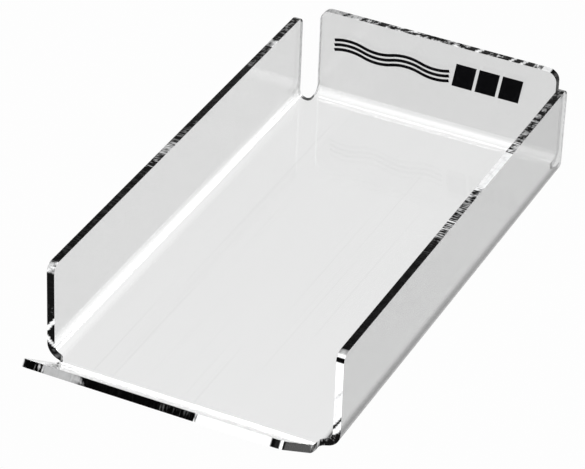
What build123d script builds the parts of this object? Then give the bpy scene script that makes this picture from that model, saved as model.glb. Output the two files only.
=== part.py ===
from build123d import *
import math
import os

# Clear acrylic tray for ready-cut hair foils, made from one sheet that is cut flat and then bent
# along four lines. The nodes are the sheet's flat panels and the bends between them, which meet
# face to face, and the ink that is printed on the back wall.
#
# Millimetres. +Z is up and +Y points to the back wall. The origin is on the underside, at the
# middle of the tray's width and of its whole length.

# ---- driving dimensions ----
SHEET = 3.0                 # thickness of the acrylic sheet
WIDTH = 116.0               # over the outer faces of the side walls
LENGTH = 211.5              # front edge of a side wall to the outer face of the back wall
WALL_HEIGHT = 40.0          # underside of the tray to the top edge of a side wall
BACK_HEIGHT = 40.5          # underside of the tray to the top edge of the back wall
INNER_RADIUS = 3.3          # inside radius of the bends below the side walls and the back wall
CORNER_GAP = 10.0           # back edge of a side wall to the outer face of the back wall
END_INSET = 7.25            # side of the back wall or lip to the outer face of a side wall
FRONT_CORNER_RADIUS = 3.5   # rounded upper front corners of the side walls
REAR_CORNER_RADIUS = 3.5    # rounded upper rear corners of the side walls
BACK_CORNER_RADIUS = 4.5    # rounded upper corners of the back wall
REAR_RELIEF_RADIUS = 1.5    # inner corner of the cut-out between a side wall and the back wall
FRONT_RELIEF_RADIUS = 2.5   # inner corner between a side wall and the lip
LIP_ANGLE = 36.0            # slope of the front lip above the floor, in degrees
LIP_LENGTH = 32.0           # lip, from its fold line to its outer edge, along its upper face
LIP_AHEAD = 5.2             # fold line of the lip ahead of the side walls' front edges
LIP_BEND_RADIUS = 7.0       # inside radius of the lip's bend, wider than the others
LIP_CORNER_RADIUS = 3.5     # rounded outer corners of the lip

# The print is a pictogram: strands of hair that lead to a folded strip of foil.
INK = 0.12                  # thickness of the printed ink
PRINT_BASE = 22.5           # lower edge of the print above the underside of the tray
PRINT_LEFT_INSET = 6.75     # left end of the back wall to where the strands start
PRINT_RIGHT_INSET = 13.65   # right end of the back wall to the tip of the printed foil
PRINT_GAP = 1.3             # strands to foil, and between the foil's folded panels
STRAND_WIDTH = 1.3          # width of one printed strand
STRAND_PITCH = 2.2          # from strand to strand
STRAND_COUNT = 3
WAVE_RISE = 1.0             # height of one half wave of a strand
HALF_WAVE_COUNT = 4         # half waves in each strand
FOIL_PANEL = 8.6            # width of one folded panel of the printed foil
FOIL_HEIGHT = 10.3
FOIL_SLANT = 1.6            # how far a panel's upper edge leans to the right
FOIL_COUNT = 3

# ---- places worked out from the dimensions above ----
half_width = WIDTH / 2
outer_radius = INNER_RADIUS + SHEET
floor_half = half_width - outer_radius
end_half = half_width - END_INSET
lip_slope = math.radians(LIP_ANGLE)
lip_reach = LIP_AHEAD + LIP_LENGTH * math.cos(lip_slope) + SHEET * math.sin(lip_slope)
back_y = (LENGTH + lip_reach) / 2
wall_front_y = back_y - LENGTH
wall_back_y = back_y - CORNER_GAP
back_bend_y = back_y - outer_radius
fold_y = wall_front_y - LIP_AHEAD
fold_setback = LIP_BEND_RADIUS * math.tan(lip_slope / 2)
front_bend_y = fold_y + fold_setback
foil_width = FOIL_COUNT * FOIL_PANEL + (FOIL_COUNT - 1) * PRINT_GAP + FOIL_SLANT
print_left = PRINT_LEFT_INSET - end_half
foil_left = end_half - PRINT_RIGHT_INSET - foil_width
half_wave = (foil_left - PRINT_GAP - print_left) / HALF_WAVE_COUNT

UP = Vector(0, 0, 1)
FRONT = -1
REAR = 1
LEFT = -1
RIGHT = 1


def panel(x_from, x_to, y_from, y_to, z_from, z_to):
    """A rectangular piece of sheet between two opposite corners."""
    size = (x_to - x_from, y_to - y_from, z_to - z_from)
    middle = ((x_from + x_to) / 2, (y_from + y_to) / 2, (z_from + z_to) / 2)
    return Pos(*middle) * Box(*size)


def rounded_corners(wall, across, end, radius):
    """The same wall with upper corners rounded: those at its low (0) or high (-1) end.

    across is the axis through the wall's thickness and end picks the corners along its length.
    """
    along = Axis.Y if across == Axis.X else Axis.X
    corner = wall.edges().filter_by(across).group_by(Axis.Z)[-1].sort_by(along)[end]
    return fillet(corner, radius)


def bend(outwards, start, length, inner, angle):
    """A bend that starts under its own centre line and curls up and outwards by the given angle."""
    outwards = Vector(*outwards)
    plane = Plane(origin=start, x_dir=outwards, z_dir=outwards.cross(UP))
    outer = inner + SHEET
    turn = math.radians(angle)

    def point(radius, part):
        return (radius * math.sin(turn * part), -radius * math.cos(turn * part))

    outline = [
        Line(point(inner, 0), point(outer, 0)),
        ThreePointArc(point(outer, 0), point(outer, 0.5), point(outer, 1)),
        Line(point(outer, 1), point(inner, 1)),
        ThreePointArc(point(inner, 1), point(inner, 0.5), point(inner, 0)),
    ]
    return extrude(plane * make_face(outline), length)


def relief_web(side, end):
    """What the rounded inner corner of the flat blank leaves between a side wall and one end."""
    radius = REAR_RELIEF_RADIUS if end == REAR else FRONT_RELIEF_RADIUS
    corner_y = wall_back_y if end == REAR else wall_front_y
    bend_y = back_bend_y if end == REAR else front_bend_y
    corner_x = side * end_half
    far_x = corner_x + side * radius
    far_y = corner_y + end * radius
    reach = radius * (1 - math.sqrt(0.5))
    outline = [
        Line((far_x, corner_y), (corner_x, corner_y)),
        Line((corner_x, corner_y), (corner_x, far_y)),
        ThreePointArc(
            (corner_x, far_y),
            (corner_x + side * reach, corner_y + end * reach),
            (far_x, corner_y),
        ),
    ]
    web = extrude(make_face(outline), outer_radius, dir=(0, 0, 1))
    # Past both bend lines the sheet would have to bend two ways at once, so nothing is left there.
    x_limits = sorted((side * floor_half, side * WIDTH))
    y_limits = sorted((bend_y, bend_y + end * WIDTH))
    return web - panel(*x_limits, *y_limits, -SHEET, 2 * outer_radius)


def both_sides(end):
    return relief_web(LEFT, end) + relief_web(RIGHT, end)


def make_floor():
    middle = panel(-floor_half, floor_half, wall_front_y, wall_back_y, 0, SHEET)
    front = panel(-end_half, end_half, front_bend_y, wall_front_y, 0, SHEET)
    rear = panel(-end_half, end_half, wall_back_y, back_bend_y, 0, SHEET)
    room = panel(-floor_half, floor_half, front_bend_y, back_bend_y, 0, SHEET)
    webs = (both_sides(FRONT) + both_sides(REAR)) & room
    return middle + front + rear + webs


def make_side_wall(side):
    x_limits = sorted((side * half_width, side * (half_width - SHEET)))
    wall = panel(*x_limits, wall_front_y, wall_back_y, outer_radius, WALL_HEIGHT)
    wall = rounded_corners(wall, Axis.X, 0, FRONT_CORNER_RADIUS)
    return rounded_corners(wall, Axis.X, -1, REAR_CORNER_RADIUS)


def side_bend_between(side, y_from, y_to):
    start_y = y_from if side == LEFT else y_to
    start = (side * floor_half, start_y, outer_radius)
    return bend((side, 0, 0), start, y_to - y_from, INNER_RADIUS, 90)


def make_side_bend(side):
    run = side_bend_between(side, wall_front_y, wall_back_y)
    front = side_bend_between(side, wall_front_y - FRONT_RELIEF_RADIUS, wall_front_y)
    rear = side_bend_between(side, wall_back_y, wall_back_y + REAR_RELIEF_RADIUS)
    return run + (relief_web(side, FRONT) & front) + (relief_web(side, REAR) & rear)


def make_back_wall():
    wall = panel(-end_half, end_half, back_y - SHEET, back_y, outer_radius, BACK_HEIGHT)
    wall = rounded_corners(wall, Axis.Y, 0, BACK_CORNER_RADIUS)
    return rounded_corners(wall, Axis.Y, -1, BACK_CORNER_RADIUS)


def back_bend_between(half):
    return bend((0, 1, 0), (-half, back_bend_y, outer_radius), 2 * half, INNER_RADIUS, 90)


def make_back_bend():
    wide = back_bend_between(end_half + REAR_RELIEF_RADIUS)
    return back_bend_between(end_half) + (both_sides(REAR) & wide)


def front_bend_between(half):
    start = (half, front_bend_y, SHEET + LIP_BEND_RADIUS)
    return bend((0, -1, 0), start, 2 * half, LIP_BEND_RADIUS, LIP_ANGLE)


def make_front_bend():
    wide = front_bend_between(end_half + FRONT_RELIEF_RADIUS)
    return front_bend_between(end_half) + (both_sides(FRONT) & wide)


def make_front_lip():
    upward = (0, math.sin(lip_slope), math.cos(lip_slope))
    plane = Plane(origin=(0, fold_y, SHEET), x_dir=(1, 0, 0), z_dir=upward)
    run = LIP_LENGTH - fold_setback
    blank = Pos(0, -fold_setback - run / 2) * Rectangle(2 * end_half, run)
    corners = blank.vertices().group_by(Axis.Y)[0]
    blank = fillet(corners, LIP_CORNER_RADIUS)
    return extrude(plane * blank, -SHEET)


def print_plane(x, z):
    """A drawing plane on the inside face of the back wall; its own Y axis points up."""
    return Plane(origin=(x, back_y - SHEET, z), x_dir=(1, 0, 0), z_dir=(0, -1, 0))


def make_strand(z):
    """One wavy printed line, made of equal arcs that swing up and down in turn."""
    wave_radius = (half_wave ** 2 / 4 + WAVE_RISE ** 2) / (2 * WAVE_RISE)
    tilt = math.asin(half_wave / 2 / wave_radius)
    half = STRAND_WIDTH / 2
    upper = []
    lower = []
    for i in range(HALF_WAVE_COUNT):
        swing = 1 if i % 2 == 0 else -1
        x = i * half_wave
        lean = swing * half * math.sin(tilt)
        rise = half * math.cos(tilt)
        crest = swing * WAVE_RISE
        middle = x + half_wave / 2
        end = x + half_wave
        upper.append(ThreePointArc((x - lean, rise), (middle, crest + half), (end + lean, rise)))
        lower.append(ThreePointArc((x + lean, -rise), (middle, crest - half), (end - lean, -rise)))
    outline = [
        *upper,
        Line(upper[-1] @ 1, lower[-1] @ 1),
        *lower,
        Line(lower[0] @ 0, upper[0] @ 0),
    ]
    return extrude(print_plane(print_left, z) * make_face(outline), INK)


def make_strands():
    first_z = PRINT_BASE + WAVE_RISE + STRAND_WIDTH / 2
    return Compound([make_strand(first_z + i * STRAND_PITCH) for i in range(STRAND_COUNT)])


def make_printed_foil():
    """Slanted panels side by side, like a strip of foil folded in three."""
    panels = []
    for i in range(FOIL_COUNT):
        outline = Polyline(
            (0, 0),
            (FOIL_PANEL, 0),
            (FOIL_PANEL + FOIL_SLANT, FOIL_HEIGHT),
            (FOIL_SLANT, FOIL_HEIGHT),
            close=True,
        )
        x = foil_left + i * (FOIL_PANEL + PRINT_GAP)
        panels.append(extrude(print_plane(x, PRINT_BASE) * make_face(outline), INK))
    return Compound(panels)


def only_solids(shape):
    """The solids of a shape, as one compound, or as a bare solid where there is just one."""
    solids = shape.solids()
    return solids[0] if len(solids) == 1 else Compound(solids)


nodes = {
    "floor_panel": make_floor(),
    "left_wall": make_side_wall(LEFT),
    "right_wall": make_side_wall(RIGHT),
    "left_bend": make_side_bend(LEFT),
    "right_bend": make_side_bend(RIGHT),
    "back_wall": make_back_wall(),
    "back_bend": make_back_bend(),
    "front_lip": make_front_lip(),
    "front_bend": make_front_bend(),
    "printed_strands": make_strands(),
    "printed_foil": make_printed_foil(),
}

os.makedirs("parts", exist_ok=True)
for name, shape in nodes.items():
    export_step(only_solids(shape), f"parts/{name}.step")
    box = shape.bounding_box()
    print(name, len(shape.solids()), round(shape.volume, 2), box.min, box.max)
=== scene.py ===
import math
import bmesh
import bpy
from mathutils import Matrix, Vector


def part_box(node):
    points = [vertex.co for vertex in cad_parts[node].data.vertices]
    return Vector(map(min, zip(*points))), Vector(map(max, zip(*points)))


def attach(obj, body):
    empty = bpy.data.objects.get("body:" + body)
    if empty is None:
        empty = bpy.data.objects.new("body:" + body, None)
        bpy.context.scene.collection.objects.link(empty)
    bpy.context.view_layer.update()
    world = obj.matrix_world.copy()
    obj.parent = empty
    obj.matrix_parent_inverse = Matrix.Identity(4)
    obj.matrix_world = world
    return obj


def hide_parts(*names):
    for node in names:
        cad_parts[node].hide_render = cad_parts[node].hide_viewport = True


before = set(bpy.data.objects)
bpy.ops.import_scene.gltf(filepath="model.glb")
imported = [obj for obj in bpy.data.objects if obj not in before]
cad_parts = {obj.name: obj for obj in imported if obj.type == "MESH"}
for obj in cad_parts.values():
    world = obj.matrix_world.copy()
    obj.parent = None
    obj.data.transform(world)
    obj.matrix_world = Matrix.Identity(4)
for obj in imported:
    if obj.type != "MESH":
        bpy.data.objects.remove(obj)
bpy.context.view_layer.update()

bl_info = {
    "name": "Acrylic foil tray",
    "version": (1, 0, 0),
    "blender": (4, 5, 0),
    "location": "View3D > Sidebar > Foil tray",
    "description": "Builds a clear acrylic tray for hair foils: one sheet, cut flat and bent in four places",
    "category": "Object",
}

SHEET_NODES = (
    "floor_panel",
    "left_wall",
    "right_wall",
    "left_bend",
    "right_bend",
    "back_wall",
    "back_bend",
    "front_lip",
    "front_bend",
)
INK_NODES = ("printed_strands", "printed_foil")

# ---- sizes taken from the frame, in metres ----
LOW, HIGH = 0, 1
X, Y, Z = 0, 1, 2

floor_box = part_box("floor_panel")
wall_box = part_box("right_wall")
bend_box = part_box("right_bend")
back_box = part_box("back_wall")
back_bend_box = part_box("back_bend")
lip_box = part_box("front_lip")
lip_bend_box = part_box("front_bend")

SHEET = floor_box[HIGH][Z] - floor_box[LOW][Z]
FLOOR_HALF = floor_box[HIGH][X]
END_HALF = back_box[HIGH][X]
BEND_INNER = bend_box[HIGH][Z] - SHEET
WALL_FRONT = wall_box[LOW][Y]
WALL_REAR = wall_box[HIGH][Y]
WALL_TOP = wall_box[HIGH][Z]
BACK_BEND = back_bend_box[LOW][Y]
BACK_TOP = back_box[HIGH][Z]
FRONT_BEND = lip_bend_box[HIGH][Y]
LIP_TOP = lip_box[HIGH][Z]
LIP_SINE = (lip_box[HIGH][Y] - lip_bend_box[LOW][Y]) / SHEET
LIP_ANGLE = math.asin(LIP_SINE)
LIP_INNER = (FRONT_BEND - lip_box[HIGH][Y]) / LIP_SINE


# ---- the light painted on the cut edges ----
# A cut edge shows the inside of the sheet: black where it looks along it, and bright where light
# leaks in. That light and shade are painted into the colour of an opaque edge. Each span is from,
# to (mm along its edge), painted tone, mottling, streaks, and how far (mm) the span leans across the
# thickness. The first span that holds a place counts, and a place in no span has the plain rim,
# painted black.
LIP_EDGE = (
    (-60, -49.5, 0.7, 0.3, 0.2, 0),
    (-44.5, -41, 0.12, 0.3, 0.4, 0),
    (-41, -31, 0.4, 0.04, 0.02, 0),
    (-31, -27.5, 0.34, 0.12, 0.06, 0),
    (-27.5, -25, 0.02, 0.35, 0.2, 0),
    (4, 16, 0.0, 0.03, 0.05, 0),
    (17.2, 18.6, 0.6, 0.2, 0.8, 0),
    (18.6, 46.7, 0.93, 0.03, 0.02, 0),
    (49.7, 50.3, 0.9, 0.1, 0.2, 0),
)
LIP_SIDES = (
    (0, 28, 0.028, 0.008, 0.006, 0),
    (28, 60, 0.06, 0.5, 0.3, 0),
)
RIGHT_FRONT = (
    (0, 6.5, 0.02, 0.25, 0.1, 2.5),
    (6.5, 9.8, 0.95, 0.1, 0.1, 4.5),
    (11.7, 22, 0.95, 0.1, 0.03, 4.5),
    (22, 23.3, 0.7, 0.2, 0.05, 4.5),
    (18, 37.0, 1.0, 0.03, 0.0, 0),
    (38.2, 60, 0.95, 0.1, 0.1, 0),
)
RIGHT_TOP = (
    (-95, -89.3, 0.95, 0.05, 0.1, 0),
    (-88.75, -87.9, 0.95, 0.05, 0.1, 0),
    (-87.9, -85.7, 0.35, 0.2, 0.1, 0),
    (-20, -10, 0.0, 0.03, 0.05, 0),
    (-10, -5, 0.06, 0.3, 0.4, 0),
    (-5, 6, 0.3, 0.3, 1.1, 0),
    (6, 15, 0.05, 0.25, 0.5, 0),
    (15, 24, 0.1, 0.3, 0.6, 0),
    (24, 31, 0.45, 0.3, 1.1, 0),
    (31, 58, 0.97, 0.12, 0.12, 0),
    (58, 66, 0.35, 0.7, 0.8, 0),
    (66, 84, 0.12, 0.5, 0.3, 0),
    (84, 96, 0.03, 0.6, 0.2, 0),
    (96, 109, 0.0, 0.35, 0.1, 0),
)
LEFT_FRONT = (
    (0, 5, 0.01, 0.12, 0.05, 2.5),
    (6, 8.2, 0.9, 0.2, 0.1, 3),
    (13.4, 15.6, 0.9, 0.2, 0.1, -4),
    (21, 23, 0.0, 0.35, 0.1, 3),
    (36.7, 60, 0.5, 0.9, 0.3, 0),
)
LEFT_TOP = (
    (-90, -86, 0.5, 0.7, 0.3, 0),
    (-86, -16, 0.0, 0.015, 0.03, 0),
    (-16, -5, 0.03, 0.35, 0.5, 0),
    (-5, 4, 0.3, 0.2, 0.5, 0),
    (4, 22, 0.02, 0.1, 0.2, 0),
    (66, 84, 0.0, 0.2, 0.1, 0),
    (84, 89.5, 0.5, 0.5, 0.2, 0),
    (89.5, 108, 0.0, 0.35, 0.15, 0),
)
BACK_EDGE = (
    (-60, -40.5, 0.45, 0.2, 0.15, 1.5),
    (-39, -33, 0.5, 0.25, 0.2, 1.5),
    (-31.2, -26, 0.4, 0.6, 0.3, 1.5),
    (-22, 12.3, 0.12, 1.1, 0.3, 1.5),
    (16.5, 18.5, 0.85, 0.2, 0.2, 1.5),
    (22, 27.3, 0.15, 1.0, 0.3, 1.5),
    (31, 32.3, 0.9, 0.1, 0.1, 1.5),
    (35.5, 37, 0.85, 0.1, 0.1, 1.5),
    (40.5, 44, 0.5, 0.3, 0.8, 0),
    (44, 47.5, 0.85, 0.1, 0.0, 0),
)
REAR_EDGES = (
    (0, 54.5, 0.06, 0.05, 0.05, 0),
    (54.5, 200, 0.5, 0.1, 0.1, 0),
)
BACK_SIDE = (0.45, 0.1, 0.1)
PLAIN_RIM = (0.0, 0.0, 0.004)

# How far each edge of the flat blank reaches in from the line that it lies on, in metres.
END_REACH = 0.003       # the lip's edge, and the back wall's top edge
TOP_REACH = 0.0034      # the side walls' top edges
CUT_OUT_REACH = 0.004   # the rear edges of the side walls, with the cut-outs' round ends
SHOULDER = 0.011        # the painted dark stretch of edge below the back wall's upper right corner
RELIEF_REACH = 0.0015   # the relief corner beside the lip
LINE_SLACK = 0.0001     # points on the line itself count as past it


# ---- settings ----
class TraySheetSettings(bpy.types.PropertyGroup):
    thickness: bpy.props.FloatProperty(
        name="Sheet thickness", description="Thickness of the acrylic", default=SHEET, unit="LENGTH")
    lip_angle: bpy.props.FloatProperty(
        name="Lip angle", description="Slope of the front lip above the floor",
        default=LIP_ANGLE, subtype="ANGLE")
    front_corner: bpy.props.FloatProperty(
        name="Front corner radius", description="Rounded upper front corners of the side walls",
        default=0.0035, unit="LENGTH")
    rear_corner: bpy.props.FloatProperty(
        name="Rear corner radius", description="Rounded upper rear corners of the side walls",
        default=0.0035, unit="LENGTH")
    back_corner: bpy.props.FloatProperty(
        name="Back wall corner radius", description="Rounded upper corners of the back wall",
        default=0.0045, unit="LENGTH")
    lip_corner: bpy.props.FloatProperty(
        name="Lip corner radius", description="Rounded outer corners of the lip",
        default=0.0035, unit="LENGTH")
    front_relief: bpy.props.FloatProperty(
        name="Front relief radius", description="Inner corner between a side wall and the lip",
        default=0.0025, unit="LENGTH")
    rear_relief: bpy.props.FloatProperty(
        name="Rear relief radius", description="Inner corner between a side wall and the back wall",
        default=0.0015, unit="LENGTH")
    arris: bpy.props.FloatProperty(
        name="Arris", description="Tiny chamfer along every cut edge", default=0.00012, unit="LENGTH")
    colour: bpy.props.FloatVectorProperty(
        name="Sheet colour", description="Tint of the clear sheet",
        default=(0.985, 0.987, 0.986), subtype="COLOR", size=3, min=0, max=1)
    # Painted shade: the five factors below grey each panel of the clear sheet, standing in for how light
    # passes through it.
    floor_painted_shade: bpy.props.FloatProperty(
        name="Floor tint", description="Light that the floor panel lets through",
        default=0.91, subtype="FACTOR", min=0, max=1)
    left_wall_painted_shade: bpy.props.FloatProperty(
        name="Left wall tint", description="Light that the left wall lets through",
        default=0.735, subtype="FACTOR", min=0, max=1)
    right_wall_painted_shade: bpy.props.FloatProperty(
        name="Right wall tint", description="Light that the right wall lets through",
        default=0.64, subtype="FACTOR", min=0, max=1)
    back_wall_painted_shade: bpy.props.FloatProperty(
        name="Back wall tint", description="Light that the back wall lets through",
        default=0.70, subtype="FACTOR", min=0, max=1)
    lip_painted_shade: bpy.props.FloatProperty(
        name="Lip tint", description="Light that the lip lets through",
        default=0.72, subtype="FACTOR", min=0, max=1)


class TrayInkSettings(bpy.types.PropertyGroup):
    ink_colour: bpy.props.FloatVectorProperty(
        name="Ink colour", description="Colour of the screen-printed ink",
        default=(0.002, 0.002, 0.0025), subtype="COLOR", size=3, min=0, max=1)


class TrayStageSettings(bpy.types.PropertyGroup):
    azimuth: bpy.props.FloatProperty(
        name="Camera azimuth", description="From straight ahead towards the right side",
        default=math.radians(24.73), subtype="ANGLE")
    elevation: bpy.props.FloatProperty(
        name="Camera elevation", description="Above the table",
        default=math.radians(33.58), subtype="ANGLE")
    roll: bpy.props.FloatProperty(
        name="Camera roll", description="Turn about the line of sight",
        default=math.radians(2.24), subtype="ANGLE")
    distance: bpy.props.FloatProperty(
        name="Camera distance", description="From the camera to the point it looks at",
        default=1.279, unit="LENGTH")
    lens: bpy.props.FloatProperty(
        name="Focal length", description="Focal length in millimetres", default=213.6)
    table_brightness: bpy.props.FloatProperty(
        name="Table brightness", description="Even glow of the pale table", default=0.985, min=0)
    surround_brightness: bpy.props.FloatProperty(
        name="Surround brightness", description="Even glow of the studio around the table",
        default=0.25, min=0)


# ---- the flat blank ----
def rounded_outline(corners, step=math.radians(7.5)):
    """Points of a closed outline whose corners are arcs; corners are (x, y, radius)."""
    points = []
    count = len(corners)
    for i, (x, y, radius) in enumerate(corners):
        here = Vector((x, y))
        before = Vector(corners[i - 1][:2])
        after = Vector(corners[(i + 1) % count][:2])
        back = (before - here).normalized()
        ahead = (after - here).normalized()
        half_turn = back.angle(ahead) / 2
        setback = radius / math.tan(half_turn)
        middle = here + (back + ahead).normalized() * (radius / math.sin(half_turn))
        start = here + back * setback - middle
        end = here + ahead * setback - middle
        turn = start.angle_signed(end)
        steps = max(2, round(abs(turn) / step))
        for k in range(steps + 1):
            part = start.copy()
            part.rotate(Matrix.Rotation(-turn * k / steps, 2))
            points.append(middle + part)
    return points


def bend_length(inner, angle, thickness):
    """Length of flat sheet that a bend takes up, measured at mid thickness."""
    return (inner + thickness / 2) * angle


def blank_corners(s):
    """Corners of the right half of the flat blank, from the lip to the back wall."""
    side_run = bend_length(BEND_INNER, math.pi / 2, SHEET)
    side_x = FLOOR_HALF + side_run + WALL_TOP - BEND_INNER - SHEET
    back_y = BACK_BEND + side_run + BACK_TOP - BEND_INNER - SHEET
    lip_start = SHEET + LIP_INNER * (1 - math.cos(LIP_ANGLE))
    lip_run = bend_length(LIP_INNER, LIP_ANGLE, SHEET) + (LIP_TOP - lip_start) / LIP_SINE
    lip_y = FRONT_BEND - lip_run
    return [
        (END_HALF, lip_y, s.lip_corner),
        (END_HALF, WALL_FRONT, s.front_relief),
        (side_x, WALL_FRONT, s.front_corner),
        (side_x, WALL_REAR, s.rear_corner),
        (END_HALF, WALL_REAR, s.rear_relief),
        (END_HALF, back_y, s.back_corner),
    ]


def painted_rim_light(x, y, across, corners):
    """Painted tone, mottling and streaks of light on the rim at a place of the flat blank."""
    side_x = corners[2][0]
    lip_y, rear_y, back_y = corners[0][1], corners[3][1], corners[5][1]
    spans, place = LIP_SIDES, y - lip_y
    if y < lip_y + END_REACH:
        spans, place = LIP_EDGE, x
    elif y > back_y - END_REACH:
        spans, place = BACK_EDGE, x
    elif y > rear_y + CUT_OUT_REACH:
        if x > 0 and y > back_y - SHOULDER:
            return PLAIN_RIM
        return BACK_SIDE
    elif y > rear_y - LINE_SLACK:
        spans, place = REAR_EDGES, abs(x)
    elif abs(x) > side_x - TOP_REACH:
        spans, place = (RIGHT_TOP if x > 0 else LEFT_TOP), y
    elif abs(x) > END_HALF + RELIEF_REACH:
        spans = RIGHT_FRONT if x > 0 else LEFT_FRONT
        place = abs(x) - side_x + WALL_TOP
    for start, end, tone, mottle, streaks, lean in spans:
        if start <= place * 1000 + across * lean < end:
            return tone, mottle, streaks
    return PLAIN_RIM


def bend_cuts(start, length, pieces, margin=0.0006):
    """Places of the cuts across one bend, with one more just outside each end of it."""
    return [start - margin] + [start + length * k / pieces for k in range(pieces + 1)] + [
        start + length + margin]


def is_cut(face):
    return abs(face.normal.z) < 0.99


def divide_rim(bm, corners, step=0.0006, rows=4):
    """Divide the rim along its run and across its thickness, so that its painted light can change there."""
    side_x = corners[2][0]
    lip_y, back_y = corners[0][1], corners[5][1]
    planes = [((x * step, 0, 0), (1, 0, 0)) for x in range(-int(side_x / step), int(side_x / step) + 1)]
    planes += [((0, y * step, 0), (0, 1, 0)) for y in range(int(lip_y / step), int(back_y / step) + 1)]
    planes += [((0, 0, SHEET * row / rows), (0, 0, 1)) for row in range(1, rows)]
    for point, normal in planes:
        faces = [f for f in bm.faces if is_cut(f)]
        edges = {e for f in faces for e in f.edges}
        verts = {v for f in faces for v in f.verts}
        bmesh.ops.bisect_plane(bm, geom=[*verts, *edges, *faces], dist=1e-6,
                               plane_co=point, plane_no=normal)
        for f in faces:
            if f.is_valid:
                f.normal_update()


def paint_rim_light(bm, outline, corners):
    """Mark the cut faces, and give each its run along the outline and its painted light."""
    cut = bm.faces.layers.bool.new("cut_edge")
    light = bm.loops.layers.float_color.new("painted_rim_light")
    run = bm.loops.layers.uv.new("rim")
    ahead = [outline[(i + 1) % len(outline)] - p for i, p in enumerate(outline)]
    starts = [0.0]
    for along in ahead:
        starts.append(starts[-1] + along.length)

    def run_at(x, y):
        best = (1.0, 0.0)
        here = Vector((x, y))
        for p, along, start in zip(outline, ahead, starts):
            part = min(1.0, max(0.0, (here - p).dot(along) / along.length_squared))
            gap = (p + along * part - here).length
            if gap < best[0]:
                best = (gap, start + part * along.length)
        return best[1]

    runs = {}
    for f in bm.faces:
        f[cut] = is_cut(f)
        f.smooth = True
        if not f[cut]:
            continue
        for v in f.verts:
            if v not in runs:
                runs[v] = run_at(v.co.x, v.co.y)
        values = [runs[v] for v in f.verts]
        for loop, value in zip(f.loops, values):
            if max(values) - value > starts[-1] / 2:
                value += starts[-1]
            x, y, z = loop.vert.co
            loop[run].uv = (value, z / SHEET)
            loop[light] = (*painted_rim_light(x, y, z / SHEET - 0.5, corners), 1.0)


def make_blank(s):
    """A flat slab with cuts across it where it will bend, chamfered along its rim."""
    bm = bmesh.new()
    right = blank_corners(s)
    left = [(-x, y, radius) for x, y, radius in reversed(right)]
    outline = rounded_outline(right + left)
    face = bm.faces.new([bm.verts.new((p.x, p.y, SHEET)) for p in outline])
    if face.normal.z < 0:
        face.normal_flip()
    side_run = bend_length(BEND_INNER, math.pi / 2, SHEET)
    lip_run = bend_length(LIP_INNER, LIP_ANGLE, SHEET)
    cuts = []
    for x in bend_cuts(FLOOR_HALF, side_run, 20):
        cuts += [((x, 0, 0), (1, 0, 0)), ((-x, 0, 0), (1, 0, 0))]
    cuts += [((0, y, 0), (0, 1, 0)) for y in bend_cuts(BACK_BEND, side_run, 20)]
    cuts += [((0, -y, 0), (0, 1, 0)) for y in bend_cuts(-FRONT_BEND, lip_run, 10)]
    for point, normal in cuts:
        bmesh.ops.bisect_plane(bm, geom=bm.verts[:] + bm.edges[:] + bm.faces[:], dist=1e-7,
                               plane_co=point, plane_no=normal)
    top = bm.faces[:]
    lower = bmesh.ops.extrude_face_region(bm, geom=top)
    down = [v for v in lower["geom"] if isinstance(v, bmesh.types.BMVert)]
    bmesh.ops.translate(bm, verts=down, vec=(0, 0, -SHEET))
    bmesh.ops.recalc_face_normals(bm, faces=bm.faces)
    bm.normal_update()
    arrises = [e for e in bm.edges if e.calc_face_angle(0) > math.radians(60)]
    bmesh.ops.bevel(bm, geom=arrises, offset=s.arris, segments=1, affect="EDGES")
    bm.normal_update()
    for e in bm.edges:
        e.smooth = e.calc_face_angle(0) < math.radians(30)
    divide_rim(bm, right)
    paint_rim_light(bm, outline, right)
    mesh = bpy.data.meshes.new("tray_blank")
    bm.to_mesh(mesh)
    bm.free()
    return mesh


# ---- node trees ----
class Nodes:
    """Short calls for building a node tree."""

    def __init__(self, tree):
        self.tree = tree

    def add(self, kind, **settings):
        node = self.tree.nodes.new(kind)
        for key, value in settings.items():
            setattr(node, key, value)
        return node

    def join(self, value, socket):
        if isinstance(value, bpy.types.NodeSocket):
            self.tree.links.new(value, socket)
        else:
            socket.default_value = value

    def maths(self, operation, *values, clamp=False):
        node = self.add("ShaderNodeMath", operation=operation, use_clamp=clamp)
        for value, socket in zip(values, node.inputs):
            self.join(value, socket)
        return node.outputs[0]


# ---- bending the blank ----
class FoldTree(Nodes):
    """A geometry node tree with named inputs."""

    def __init__(self, name, sizes):
        super().__init__(bpy.data.node_groups.new(name, "GeometryNodeTree"))
        self.tree.interface.new_socket("Geometry", in_out="INPUT", socket_type="NodeSocketGeometry")
        self.tree.interface.new_socket("Geometry", in_out="OUTPUT", socket_type="NodeSocketGeometry")
        self.identifiers = {}
        for label, kind in sizes.items():
            socket = self.tree.interface.new_socket(label, in_out="INPUT", socket_type=kind)
            self.identifiers[label] = socket.identifier
        self.source = self.add("NodeGroupInput")
        self.sink = self.add("NodeGroupOutput")

    def size(self, label):
        return self.source.outputs[label]


def fold(t, past, depth, inner, angle):
    """How far a point moves outwards and up, from how far past a bend's start it lies when flat."""
    past = t.maths("MAXIMUM", past, 0.0)
    middle = t.maths("MULTIPLY_ADD", t.size("Sheet Thickness"), 0.5, inner)
    turn = t.maths("MINIMUM", t.maths("DIVIDE", past, middle), angle)
    straight = t.maths("SUBTRACT", past, t.maths("MULTIPLY", middle, turn))
    reach = t.maths("ADD", inner, depth)
    sine = t.maths("SINE", turn)
    cosine = t.maths("COSINE", turn)
    outwards = t.maths("MULTIPLY_ADD", straight, cosine, t.maths("MULTIPLY", reach, sine))
    lift = t.maths("MULTIPLY", reach, t.maths("SUBTRACT", 1.0, cosine))
    upwards = t.maths("MULTIPLY_ADD", straight, sine, lift)
    return t.maths("SUBTRACT", outwards, past), upwards


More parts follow.
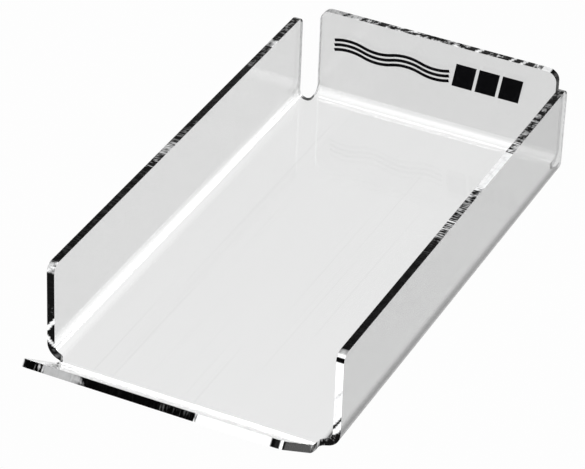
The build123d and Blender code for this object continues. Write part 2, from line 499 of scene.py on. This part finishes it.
def fold_tree():
    """A tree that bends the flat blank up along its two sides, its back and its front."""
    sizes = {
        "Sheet Thickness": "NodeSocketFloat",
        "Side Bend Start": "NodeSocketFloat",
        "Back Bend Start": "NodeSocketFloat",
        "Front Bend Start": "NodeSocketFloat",
        "Wall Bend Radius": "NodeSocketFloat",
        "Lip Bend Radius": "NodeSocketFloat",
        "Wall Angle": "NodeSocketFloat",
        "Lip Angle": "NodeSocketFloat",
        "Face Material": "NodeSocketMaterial",
        "Edge Material": "NodeSocketMaterial",
    }
    t = FoldTree("bend_the_blank", sizes)
    place = t.add("ShaderNodeSeparateXYZ")
    t.join(t.add("GeometryNodeInputPosition").outputs[0], place.inputs[0])
    x, y, z = place.outputs
    depth = t.maths("SUBTRACT", t.size("Sheet Thickness"), z)
    side = t.maths("SUBTRACT", t.maths("ABSOLUTE", x), t.size("Side Bend Start"))
    back = t.maths("SUBTRACT", y, t.size("Back Bend Start"))
    front = t.maths("SUBTRACT", t.size("Front Bend Start"), y)
    wall_radius = t.size("Wall Bend Radius")
    wall_angle = t.size("Wall Angle")
    side_out, side_up = fold(t, side, depth, wall_radius, wall_angle)
    back_out, back_up = fold(t, back, depth, wall_radius, wall_angle)
    front_out, front_up = fold(t, front, depth, t.size("Lip Bend Radius"), t.size("Lip Angle"))
    move = t.add("ShaderNodeCombineXYZ")
    t.join(t.maths("MULTIPLY", side_out, t.maths("SIGN", x)), move.inputs[0])
    t.join(t.maths("SUBTRACT", back_out, front_out), move.inputs[1])
    t.join(t.maths("ADD", side_up, t.maths("ADD", back_up, front_up)), move.inputs[2])
    bent = t.add("GeometryNodeSetPosition")
    t.join(t.source.outputs["Geometry"], bent.inputs["Geometry"])
    t.join(move.outputs[0], bent.inputs["Offset"])
    real = t.add("GeometryNodeRealizeInstances")
    t.join(bent.outputs[0], real.inputs[0])
    faces = t.add("GeometryNodeSetMaterial")
    t.join(real.outputs[0], faces.inputs["Geometry"])
    t.join(t.size("Face Material"), faces.inputs["Material"])
    cut = t.add("GeometryNodeInputNamedAttribute", data_type="BOOLEAN")
    cut.inputs["Name"].default_value = "cut_edge"
    edges = t.add("GeometryNodeSetMaterial")
    t.join(faces.outputs[0], edges.inputs["Geometry"])
    t.join(cut.outputs["Attribute"], edges.inputs["Selection"])
    t.join(t.size("Edge Material"), edges.inputs["Material"])
    t.join(edges.outputs[0], t.sink.inputs[0])
    return t


# ---- materials ----
class Finish(Nodes):
    """A material, and short calls for building its texture."""

    def __init__(self, name):
        self.material = bpy.data.materials.new(name)
        self.material.use_nodes = True
        super().__init__(self.material.node_tree)
        self.surface = self.tree.nodes["Principled BSDF"]

    def stretched(self, vector, scale, turn=0.0):
        node = self.add("ShaderNodeMapping")
        self.join(vector, node.inputs["Vector"])
        node.inputs["Scale"].default_value = scale
        node.inputs["Rotation"].default_value = (0, 0, turn)
        return node.outputs[0]

    def noise(self, vector, detail):
        node = self.add("ShaderNodeTexNoise")
        self.join(vector, node.inputs["Vector"])
        node.inputs["Scale"].default_value = 1.0
        node.inputs["Detail"].default_value = detail
        return node.outputs["Fac"]

    def spread(self, value, amount):
        """A noise value pulled to about -1..1 and scaled."""
        centred = self.maths("MULTIPLY_ADD", value, 4.5, -2.25)
        return self.maths("MULTIPLY", centred, amount)

    def past(self, value, start, soft):
        """0 before start and 1 after it, with a soft step between them."""
        return self.maths("MULTIPLY_ADD", value, 1 / soft, 0.5 - start / soft, clamp=True)

    def blend(self, first, second, factor):
        change = self.maths("SUBTRACT", second, first)
        return self.maths("MULTIPLY_ADD", change, factor, first)

    def grey(self, value, tint=(1, 1, 1)):
        node = self.add("ShaderNodeMix", data_type="RGBA")
        self.join(value, node.inputs["Factor"])
        node.inputs["A"].default_value = (0, 0, 0, 1)
        node.inputs["B"].default_value = (*tint, 1)
        return node.outputs["Result"]

    def bump(self, height, distance):
        node = self.add("ShaderNodeBump")
        self.join(height, node.inputs["Height"])
        node.inputs["Distance"].default_value = distance
        self.join(node.outputs[0], self.surface.inputs["Normal"])


# ---- where the painted shade and highlight of the sheet change, in metres ----
# The sheet is one clear material; its walls and lip are painted greyer than its floor as painted shade,
# and its folds are left clear as a painted highlight.
FOLD_HIGHLIGHT_FADE_MIDDLE = 0.0375   # y at which the left fold's painted highlight is half gone
FOLD_HIGHLIGHT_FADE = 0.135           # length of that fade, from front to rear
FOLD_TOP = 0.0065           # top of the left fold's painted highlight at the rear
FOLD_TOP_RISE = 0.002       # how much higher it reaches at the front
# tops of the painted highlight along the back fold and along the front fold
BACK_FOLD_TOP = 0.0045
FRONT_FOLD_TOP = 0.0042
SHADE_LINE_TOP = 0.0044           # painted shade line along the foot of the right wall
SHADE_LINE_SIDE = 0.0528
SHADE_LINE_TINT = 0.08
LIP_SOFTNESS = 0.1          # roughness that the lip has more than the rest


def painted_panel_shade(m, s, x, y, z):
    """The light that each panel is painted to let through: painted shade on greyer walls and lip and a dark
    line along the foot of the right wall, and clear folds as a painted highlight.
    """
    to_left = m.maths("MULTIPLY", x, -1.0)
    to_front = m.maths("MULTIPLY", y, -1.0)
    fold_highlight = m.past(to_front, -FOLD_HIGHLIGHT_FADE_MIDDLE, FOLD_HIGHLIGHT_FADE)
    fold_top = m.maths("MULTIPLY_ADD", fold_highlight, -FOLD_TOP_RISE, z)
    left_fold = m.blend(s.floor_painted_shade, 1.0, fold_highlight)
    left = m.blend(left_fold, s.left_wall_painted_shade, m.past(fold_top, FOLD_TOP, 0.0015))
    below = m.maths("SUBTRACT", 1.0, m.past(z, SHADE_LINE_TOP, 0.0012))
    line = m.maths("MULTIPLY", below, m.past(x, SHADE_LINE_SIDE, 0.001))
    right = m.blend(s.right_wall_painted_shade, s.right_wall_painted_shade * SHADE_LINE_TINT, line)
    back = m.blend(1.0, s.back_wall_painted_shade, m.past(z, BACK_FOLD_TOP, 0.001))
    front = m.blend(1.0, s.lip_painted_shade, m.past(z, FRONT_FOLD_TOP, 0.0005))
    tint = m.blend(s.floor_painted_shade, left, m.past(to_left, FLOOR_HALF, 0.001))
    tint = m.blend(tint, right, m.past(x, FLOOR_HALF, 0.001))
    tint = m.blend(tint, back, m.past(y, BACK_BEND, 0.001))
    return m.blend(tint, front, m.past(to_front, -FRONT_BEND, 0.001))


def dust_specks(m, place):
    """Small round specks, in about one cell in five of a scattered pattern."""
    dust = m.add("ShaderNodeTexVoronoi", feature="F1")
    m.join(place, dust.inputs["Vector"])
    m.join(42, dust.inputs["Scale"])
    rare = m.add("ShaderNodeSeparateColor")
    m.join(dust.outputs["Color"], rare.inputs[0])
    near = m.past(m.maths("MULTIPLY", dust.outputs["Distance"], -1.0), -0.011, 0.006)
    return m.maths("MULTIPLY", near, m.past(rare.outputs[0], 0.8, 0.01))


def clear_acrylic(s):
    """Polished clear sheet with faint wipe marks, hairline scratches, a few specks of dust, and painted
    shade and highlight on its panels.
    """
    m = Finish("clear_acrylic")
    place = m.add("ShaderNodeTexCoord").outputs["Object"]
    axes = m.add("ShaderNodeSeparateXYZ")
    m.join(place, axes.inputs[0])
    x, y, z = axes.outputs
    wipes = m.noise(m.stretched(place, (55, 9, 55), 0.35), detail=4.0)
    hairs = m.noise(m.stretched(place, (900, 5, 900), 0.12), detail=1.0)
    marks = (
        m.maths("MULTIPLY_ADD", wipes, 0.03, 0.985),
        m.maths("MULTIPLY_ADD", m.past(hairs, 0.70, 0.05), -0.04, 1.0),
        m.maths("MULTIPLY_ADD", dust_specks(m, place), -0.45, 1.0),
    )
    # painted shade and highlight per panel, with the wipe marks, scratches and dust on top
    tint = painted_panel_shade(m, s, x, y, z)
    for mark in marks:
        tint = m.maths("MULTIPLY", tint, mark)
    m.join(m.grey(tint, s.colour), m.surface.inputs["Base Color"])
    on_lip = m.past(m.maths("MULTIPLY", y, -1.0), -lip_bend_box[LOW][Y], 0.002)
    polish = m.maths("MULTIPLY_ADD", on_lip, LIP_SOFTNESS, m.maths("MULTIPLY", wipes, 0.03))
    m.join(polish, m.surface.inputs["Roughness"])
    m.surface.inputs["Transmission Weight"].default_value = 1
    m.surface.inputs["IOR"].default_value = 1.49
    m.bump(wipes, 0.000002)
    return m.material


def cut_edge():
    """A laser-cut rim, opaque, with its light painted in: black where it looks along the sheet, bright in
    painted spots and fine streaks.
    """
    m = Finish("cut_acrylic_edge")
    uv = m.add("ShaderNodeUVMap", uv_map="rim").outputs[0]
    light = m.add("ShaderNodeSeparateColor")
    m.join(m.add("ShaderNodeAttribute", attribute_name="painted_rim_light").outputs["Color"], light.inputs[0])
    tone, mottle, streaks = light.outputs
    spots = m.noise(m.stretched(uv, (330, 1.3, 1)), detail=3.0)
    lines = m.noise(m.stretched(uv, (1500, 0.6, 1)), detail=1.0)
    grain = m.noise(m.stretched(uv, (45, 5, 1)), detail=2.0)
    # painted light: the edge's tone with mottled spots and streaks, dimmed in places by grain
    value = m.maths("ADD", tone, m.spread(spots, mottle))
    value = m.maths("ADD", value, m.spread(lines, streaks), clamp=True)
    value = m.maths("MULTIPLY", value, m.maths("MULTIPLY_ADD", grain, 1.2, 0.5, clamp=True))
    m.join(m.grey(value, (0.95, 0.955, 0.96)), m.surface.inputs["Base Color"])
    m.join(m.maths("MULTIPLY_ADD", spots, 0.3, 0.12), m.surface.inputs["Roughness"])
    m.surface.inputs["Specular IOR Level"].default_value = 0.06
    m.bump(lines, 0.00003)
    return m.material


def ink(colour):
    """Screen-printed ink, with a slightly uneven, half-gloss skin."""
    m = Finish("printed_ink")
    place = m.add("ShaderNodeTexCoord").outputs["Object"]
    grain = m.noise(m.stretched(place, (2600, 2600, 2600)), detail=3.0)
    shade = m.maths("MULTIPLY_ADD", grain, 0.5, 0.75)
    m.join(m.grey(shade, colour), m.surface.inputs["Base Color"])
    m.join(m.maths("MULTIPLY_ADD", grain, 0.25, 0.35), m.surface.inputs["Roughness"])
    m.surface.inputs["Specular IOR Level"].default_value = 0.02
    m.bump(grain, 0.00002)
    return m.material


# ---- operators ----
class TRAY_OT_bent_sheet(bpy.types.Operator):
    """Make the tray: a flat blank with rounded corners, bent up along four lines"""

    bl_idname = "tray.bent_sheet"
    bl_label = "Bent acrylic sheet"

    def execute(self, context):
        s = context.scene.tray_sheet
        blank = bpy.data.objects.new("tray_blank", make_blank(s))
        context.scene.collection.objects.link(blank)
        t = fold_tree()
        modifier = blank.modifiers.new("bend", "NODES")
        modifier.node_group = t.tree
        values = {
            "Sheet Thickness": s.thickness,
            "Side Bend Start": FLOOR_HALF,
            "Back Bend Start": BACK_BEND,
            "Front Bend Start": FRONT_BEND,
            "Wall Bend Radius": BEND_INNER,
            "Lip Bend Radius": LIP_INNER,
            "Wall Angle": math.pi / 2,
            "Lip Angle": s.lip_angle,
            "Face Material": clear_acrylic(s),
            "Edge Material": cut_edge(),
        }
        for label, value in values.items():
            modifier[t.identifiers[label]] = value
        graph = context.evaluated_depsgraph_get()
        mesh = bpy.data.meshes.new_from_object(blank.evaluated_get(graph), depsgraph=graph)
        blank.modifiers.remove(modifier)
        bpy.data.objects.remove(blank)
        mesh.name = "bent_tray"
        tray = bpy.data.objects.new("bent_tray", mesh)
        context.scene.collection.objects.link(tray)
        tray.visible_shadow = False
        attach(tray, "root")
        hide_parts(*SHEET_NODES)
        return {"FINISHED"}


class TRAY_OT_print(bpy.types.Operator):
    """Give the printed strands and the printed foil their ink"""

    bl_idname = "tray.print"
    bl_label = "Printed ink"

    def execute(self, context):
        black = ink(context.scene.tray_ink.ink_colour)
        for node in INK_NODES:
            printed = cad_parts[node]
            for slot in printed.material_slots:
                slot.material = black
        return {"FINISHED"}


def pale_table(brightness):
    """A plain pale table, evenly lit all over."""
    material = bpy.data.materials.new("pale_table")
    material.use_nodes = True
    m = Nodes(material.node_tree)
    m.tree.nodes.clear()
    out = m.add("ShaderNodeOutputMaterial")
    glow = m.add("ShaderNodeEmission")
    m.join(brightness, glow.inputs["Strength"])
    m.join(glow.outputs[0], out.inputs["Surface"])
    return material


# ---- stage ----
TABLE_SIZE = 12
TABLE_DROP = 0.0003                       # gap below the tray, so that the two faces don't coincide
CAMERA_AIM = (-0.0029, -0.0031, 0.02)     # point that the camera looks at
SENSOR_WIDTH = 36                         # in millimetres, as the focal length is
# name, place, point that it faces, size in metres, power in watts
SOFTBOXES = (
    ("softbox_back", (1.25, 1.65, 0.55), (0, 0, 0), (0.55, 0.8), 9),
    ("softbox_above", (0.3, -0.6, 1.8), (0, 0, 0), (2.6, 2.6), 27),
    ("strip_low", (-0.7, 1.8, 0.36), (0, -0.09, 0), (0.7, 0.42), 9),
    ("softbox_front", (0.95, -1.55, 0.6), (0, 0, 0), (1.6, 1.6), 30),
)


def add_softbox(name, place, aim, size, power):
    """A rectangular softbox that faces one point."""
    light = bpy.data.lights.new(name, "AREA")
    light.shape = "RECTANGLE"
    light.size, light.size_y = size
    light.energy = power
    lamp = bpy.data.objects.new(name, light)
    lamp.location = place
    lamp.rotation_euler = (Vector(aim) - Vector(place)).to_track_quat("-Z", "Y").to_euler()
    bpy.context.scene.collection.objects.link(lamp)


class TRAY_OT_stage(bpy.types.Operator):
    """Put the tray on a plain pale floor under soft studio light, with a camera"""

    bl_idname = "tray.stage"
    bl_label = "Stage"

    def execute(self, context):
        scene = context.scene
        s = scene.tray_stage
        bpy.ops.mesh.primitive_plane_add(size=TABLE_SIZE, location=(0, 0, -TABLE_DROP))
        floor = context.object
        floor.name = "studio_floor"
        floor.data.materials.append(pale_table(s.table_brightness))
        for softbox in SOFTBOXES:
            add_softbox(*softbox)
        world = bpy.data.worlds.new("studio")
        world.use_nodes = True
        world.node_tree.nodes["Background"].inputs[0].default_value = (*[s.surround_brightness] * 3, 1)
        scene.world = world
        scene.view_settings.view_transform = "Standard"
        aim = Vector(CAMERA_AIM)
        away = Vector((
            math.sin(s.azimuth) * math.cos(s.elevation),
            -math.cos(s.azimuth) * math.cos(s.elevation),
            math.sin(s.elevation),
        ))
        data = bpy.data.cameras.new("camera")
        data.lens = s.lens
        data.sensor_width = SENSOR_WIDTH
        data.clip_end = 50
        camera = bpy.data.objects.new("camera", data)
        camera.location = aim + away * s.distance
        turn = away.to_track_quat("Z", "Y").to_matrix() @ Matrix.Rotation(s.roll, 3, "Z")
        camera.rotation_euler = turn.to_euler()
        scene.collection.objects.link(camera)
        scene.camera = camera
        return {"FINISHED"}


class TRAY_PT_panel(bpy.types.Panel):
    bl_label = "Foil tray"
    bl_idname = "TRAY_PT_panel"
    bl_space_type = "VIEW_3D"
    bl_region_type = "UI"
    bl_category = "Foil tray"

    def draw(self, context):
        for operator in OPERATORS:
            self.layout.operator(operator.bl_idname)
        for settings in (context.scene.tray_sheet, context.scene.tray_ink, context.scene.tray_stage):
            box = self.layout.box()
            for name in settings.__annotations__:
                box.prop(settings, name)


OPERATORS = (TRAY_OT_bent_sheet, TRAY_OT_print, TRAY_OT_stage)
CLASSES = (TraySheetSettings, TrayInkSettings, TrayStageSettings, *OPERATORS, TRAY_PT_panel)


def register():
    for item in CLASSES:
        bpy.utils.register_class(item)
    bpy.types.Scene.tray_sheet = bpy.props.PointerProperty(type=TraySheetSettings)
    bpy.types.Scene.tray_ink = bpy.props.PointerProperty(type=TrayInkSettings)
    bpy.types.Scene.tray_stage = bpy.props.PointerProperty(type=TrayStageSettings)


def unregister():
    del bpy.types.Scene.tray_stage
    del bpy.types.Scene.tray_ink
    del bpy.types.Scene.tray_sheet
    for item in reversed(CLASSES):
        bpy.utils.unregister_class(item)


def main():
    register()
    bpy.ops.tray.bent_sheet()
    bpy.ops.tray.print()
    bpy.ops.tray.stage()


if __name__ == "__main__":
    main()
